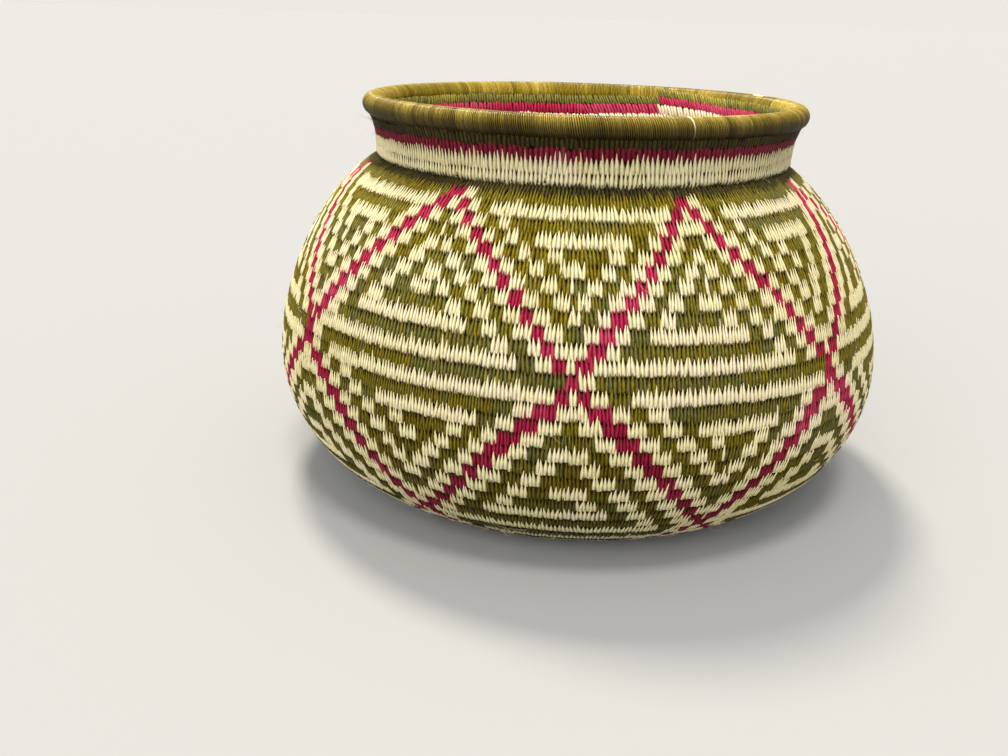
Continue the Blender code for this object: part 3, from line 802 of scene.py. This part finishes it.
def stray_fibres(name, count, first, last, longest, sides=(-180.0, 180.0)):
    """Thin tubes on bent lines: out by a sine of the share, and sideways by it and its square."""
    share = np.linspace(0.0, 1.0, HAIR_RINGS)[None]
    turns = random.uniform(first, last, count)[:, None]
    side = np.radians(random.uniform(*sides, count))[:, None]
    length = random.uniform(0.35, 1.0, count)[:, None] * longest
    rise = random.normal(0, 0.5, count)[:, None]
    swing = random.normal(0, 0.8, count)[:, None]
    reach = length * random.uniform(0.15, 0.6, count)[:, None]
    out = depth_at(turns) + reach * np.sin(share * np.pi * 0.6) - HAIR_ROOT
    heights = turns + length / ROW_HEIGHT * (rise * share + 0.4 * share ** 2)
    radius = np.interp(turns, TURNS, RADII)
    curl = random.normal(0, 0.5, count)[:, None]
    sideways = side + length / radius * (swing * share + curl * share ** 2)
    thick = HAIR_RADIUS * (1.05 - share)
    points = [place(heights, sideways - thick / radius, out), place(heights, sideways, out + thick),
              place(heights, sideways + thick / radius, out), place(heights, sideways, out - thick)]
    hairs = new_mesh_object(name, np.stack(points, axis=2), tube_faces(count, HAIR_RINGS, 4),
                            np.arange(4) * 0.1, (length / MM * share)[..., None],
                            random.random(count)[:, None, None])
    return bake_map(hairs, count, HAIR_RINGS - 1, 4, HAIR_RINGS - 1)


pale_hairs = [stray_fibres("pale_hairs", 150, 2, 33, 7 * MM),
              stray_fibres("pale_foot_hairs", 60, 1, 9, 9 * MM)]
dark_hairs = [stray_fibres("dark_hairs", 90, 6, 33, 6 * MM),
              stray_fibres("neck_hairs", 24, 35.2, 37.0, 7 * MM),
              stray_fibres("left_neck_hairs", 9, 35.0, 37.2, 11 * MM, (-104.0, -70.0))]
print(sum(len(hairs.data.polygons) for hairs in pale_hairs + dark_hairs), "faces of hair")

# %% [markdown]
# ## The start knot
# The spiral starts from a small knot, which is wrapped with the same strand.

# %% Knot
KNOT_SHAPE = (11, 72)  # points up its side and round it
KNOT_FULLNESS = 0.6  # power of the sine: less than one bulges past half an ellipse
KNOT_SPOKES, KNOT_RELIEF = 18, 0.035  # the turns of its strand, and their height over the radius


def start_knot():
    """A low button turned round an upright axis: radius by a power of a sine, height by its cosine."""
    low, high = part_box("start_knot")
    middle = (low + high) / 2
    reach, tall = (high.x - low.x) / 2, high.z
    climb = np.linspace(0.02, 0.98, KNOT_SHAPE[0])[:, None] * np.pi
    side = np.arange(KNOT_SHAPE[1])[None] / KNOT_SHAPE[1] * 2 * np.pi
    radius = reach * np.sin(climb) ** KNOT_FULLNESS * (1 + KNOT_RELIEF * np.cos(side * KNOT_SPOKES))
    height = tall / 2 - tall / 2 * np.cos(climb) * np.ones_like(side)
    points = np.stack([middle.x + radius * np.cos(side), middle.y + radius * np.sin(side), height], axis=-1)
    ends = end_fans(*KNOT_SHAPE)
    faces = np.vstack([tube_faces(1, *KNOT_SHAPE), ends])
    button = new_mesh_object("start_knot_wrapped", points, faces, side * 6, climb * 4, 0.4)
    steps = KNOT_SHAPE[0] - 1
    return bake_map(button, 1, steps, KNOT_SHAPE[1], steps, len(ends))


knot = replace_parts(start_knot(), "start_knot")
print("the knot is", round(knot.dimensions.x / MM, 1), "mm wide")

# %% [markdown]
# ## The fibres
# Strands of split palm leaf, dyed or left as they grew: satin, with fine lines along the strand, and
# a tone that changes from one strand to the next. The map "strand" holds millimetres across and
# along each strand, so the fine lines follow it. The bundle is dull and painted dark for the shade
# in its hollows, and the strand of the rim, rubbed by hands, has a soft gloss.

# %% Colours and nodes
def linear(code):
    """An sRGB hex colour as linear red, green, blue and alpha."""
    channels = np.array([int(code[i:i + 2], 16) for i in (0, 2, 4)]) / 255
    return (*np.where(channels > 0.04045, ((channels + 0.055) / 1.055) ** 2.4, channels / 12.92), 1.0)


def add(tree, kind, inputs=(), **settings):
    """Adds a node: its settings are attributes, and its inputs are values or other nodes' outputs."""
    node = tree.nodes.new(kind)
    for name, value in settings.items():
        setattr(node, name, value)
    for name, value in dict(inputs).items():
        if isinstance(value, bpy.types.NodeSocket):
            tree.links.new(value, node.inputs[name])
        else:
            node.inputs[name].default_value = value
    return node


RIB_WIDTH = 0.42  # millimetres, of the leaf's fine ribs, a little coarse so that they show


def palm_fibre(name, tones, roughness, streaks, shine):
    """A material of palm strands: tones from dark to light by strand, and lines along it."""
    material = bpy.data.materials.new(name)
    material.use_nodes = True
    tree = material.node_tree
    shader = tree.nodes["Principled BSDF"]
    tone = add(tree, "ShaderNodeAttribute", attribute_name="tone")
    ramp = add(tree, "ShaderNodeValToRGB", {"Fac": tone.outputs["Fac"]})
    stops = ramp.color_ramp.elements
    while len(stops) < len(tones):
        stops.new(0.5)
    for i, code in enumerate(tones):
        stops[i].position = i / (len(tones) - 1)
        stops[i].color = linear(code)
    strand = add(tree, "ShaderNodeUVMap", uv_map="strand")
    stretch = add(tree, "ShaderNodeMapping", {"Vector": strand.outputs["UV"],
                                              "Scale": (1 / RIB_WIDTH, 0.6, 1.0)})
    ribs = add(tree, "ShaderNodeTexNoise", {"Vector": stretch.outputs["Vector"], "Scale": 1.0,
                                            "Detail": 4.0, "Roughness": 0.6})
    lines = add(tree, "ShaderNodeMapRange", {"Value": ribs.outputs["Fac"],
                                             "From Min": 0.34, "From Max": 0.66,
                                             "To Min": 1.0 - streaks, "To Max": 1.0 + streaks})
    # The attribute "shade" is painted light and shade, multiplied into the colour.
    shade = add(tree, "ShaderNodeAttribute", attribute_name="shade")
    shaded = add(tree, "ShaderNodeMath", {0: lines.outputs["Result"], 1: shade.outputs["Fac"]},
                 operation="MULTIPLY")
    mixed = add(tree, "ShaderNodeMix",
                {"Factor": 1.0, "A": ramp.outputs["Color"], "B": shaded.outputs["Value"]},
                data_type="RGBA", blend_type="MULTIPLY")
    bump = add(tree, "ShaderNodeBump", {"Height": ribs.outputs["Fac"], "Strength": 0.35,
                                        "Distance": 0.08 * MM})
    tree.links.new(mixed.outputs["Result"], shader.inputs["Base Color"])
    tree.links.new(bump.outputs["Normal"], shader.inputs["Normal"])
    shader.inputs["Roughness"].default_value = roughness
    shader.inputs["Specular IOR Level"].default_value = shine
    return material


# %% The finishes
OLIVE_TONES = ("41360a", "70600d", "867516", "776f2e", "6c6834", "9f8e38")
CREAM_TONES = ("cfbf8c", "e4d8a1", "eee3b0", "eeddb6", "f5edc6")
CRIMSON_TONES = ("860d2c", "a81a3c", "c02c50", "de5c78")
DARK_TONES = ("241e08", "393110", "4c4218", "6a6030")
RIM_TONES = ("40350a", "5f5010", "7f6b19", "a08a38", "e9dcae")
# The bundle is pale fibre; its dark tones are painted shade for its hollows.
BUNDLE_TONES = ("3c3214", "463a18")
finishes = {
    OLIVE: (palm_fibre("palm strand, dyed olive", OLIVE_TONES, 0.5, 0.5, shine=0.14), "olive_fibre"),
    CREAM: (palm_fibre("palm strand, undyed", CREAM_TONES, 0.55, 0.17, shine=0.25), "cream_fibre"),
    CRIMSON: (palm_fibre("palm strand, dyed crimson", CRIMSON_TONES, 0.5, 0.36, shine=0.2), "crimson_fibre"),
    DARK: (palm_fibre("palm strand, dyed dark olive, also olive in painted shade", DARK_TONES, 0.6, 0.55, shine=0.2), "dark_fibre"),
}
bundle_finish = palm_fibre("bundle of fibre in painted shade", BUNDLE_TONES, 0.9, 0.22, shine=0.05)
rim_finish = palm_fibre("fine wound strand, polished by hands", RIM_TONES, 0.27, 0.3, shine=0.26)


def dress(piece, material, slot):
    """Gives a piece its material and the body that it rides on. The slot is not used."""
    piece.data.materials.append(material)
    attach(piece, "root")


for piece, colour in stitch_pieces:
    dress(piece, *finishes[colour])
for piece in bundle_pieces:
    dress(piece, bundle_finish, "bundle_fibre")
dress(rim_wound, rim_finish, "rim_strand")
dress(rim_core, bundle_finish, "bundle_fibre")
dress(knot, finishes[DARK][0], "dark_fibre")
for piece in pale_hairs:
    dress(piece, *finishes[CREAM])
for piece in dark_hairs:
    dress(piece, *finishes[OLIVE])
print(len(bpy.data.materials), "materials")

# %% [markdown]
# ## Floor and light
# A plain pale floor and soft lamps. The floor looks pale to the camera, and sends back the little
# light that a dark table would.

# %% Floor
def pale_to_the_eye(tree, lighting, seen):
    """The colour seen by camera, glossy and transmission rays, and the one that lights the object."""
    path = add(tree, "ShaderNodeLightPath")
    both = add(tree, "ShaderNodeMath", {0: path.outputs["Is Camera Ray"], 1: path.outputs["Is Glossy Ray"]},
               operation="ADD")
    all_three = add(tree, "ShaderNodeMath",
                    {0: both.outputs["Value"], 1: path.outputs["Is Transmission Ray"]},
                    operation="ADD", use_clamp=True)
    tint = add(tree, "ShaderNodeMix", {"Factor": all_three.outputs["Value"], "A": linear(lighting),
                                       "B": linear(seen)}, data_type="RGBA")
    return tint.outputs["Result"]


FLOOR_REACH = 80.0  # metres, so that its edge lies at the horizon
FLOOR_DROP = 0.02 * MM  # under the foot
corners = np.array([[-1.0, -1.0, 0.0], [1.0, -1.0, 0.0], [1.0, 1.0, 0.0], [-1.0, 1.0, 0.0]])
floor = new_mesh_object("floor", corners * FLOOR_REACH - [0.0, 0.0, FLOOR_DROP], np.array([[0, 1, 2, 3]]))
paper = bpy.data.materials.new("pale paper floor")
paper.use_nodes = True
shader = paper.node_tree.nodes["Principled BSDF"]
shader.inputs["Roughness"].default_value = 0.9
shader.inputs["Specular IOR Level"].default_value = 0.1
floor_colour = pale_to_the_eye(paper.node_tree, "6a6967", "a9a9a8")
paper.node_tree.links.new(floor_colour, shader.inputs["Base Color"])
floor.data.materials.append(paper)

# %% Lamps and sky
def lamp(name, towards, strength, softness, colour="ffffff"):
    """A far lamp: light comes evenly from one side of the sky, softened by the lamp's width."""
    light = bpy.data.lights.new(name, "SUN")
    light.energy = strength
    light.angle = np.radians(softness)
    light.color = linear(colour)[:3]
    thing = bpy.data.objects.new(name, light)
    thing.rotation_mode = "QUATERNION"
    thing.rotation_quaternion = Vector(towards).to_track_quat("Z", "Y")
    bpy.context.scene.collection.objects.link(thing)
    return thing


lamp("key", (-0.24, 0.50, 1.0), 3.0, 12, "fff8ec")
lamp("overhead", (0.05, -0.30, 1.0), 1.4, 14, "fff8ec")
fill = lamp("front fill", (-0.35, -1.0, 0.48), 2.0, 60)
fill.visible_glossy = False  # it lifts the shadows and leaves no sheen on the strands
world = bpy.data.worlds.new("studio")
world.use_nodes = True
sky = world.node_tree
sky.links.new(pale_to_the_eye(sky, "c8cace", "edeae3"), sky.nodes["Background"].inputs["Color"])
sky.nodes["Background"].inputs["Strength"].default_value = 1.0
bpy.context.scene.world = world
bpy.context.scene.view_settings.view_transform = "Standard"
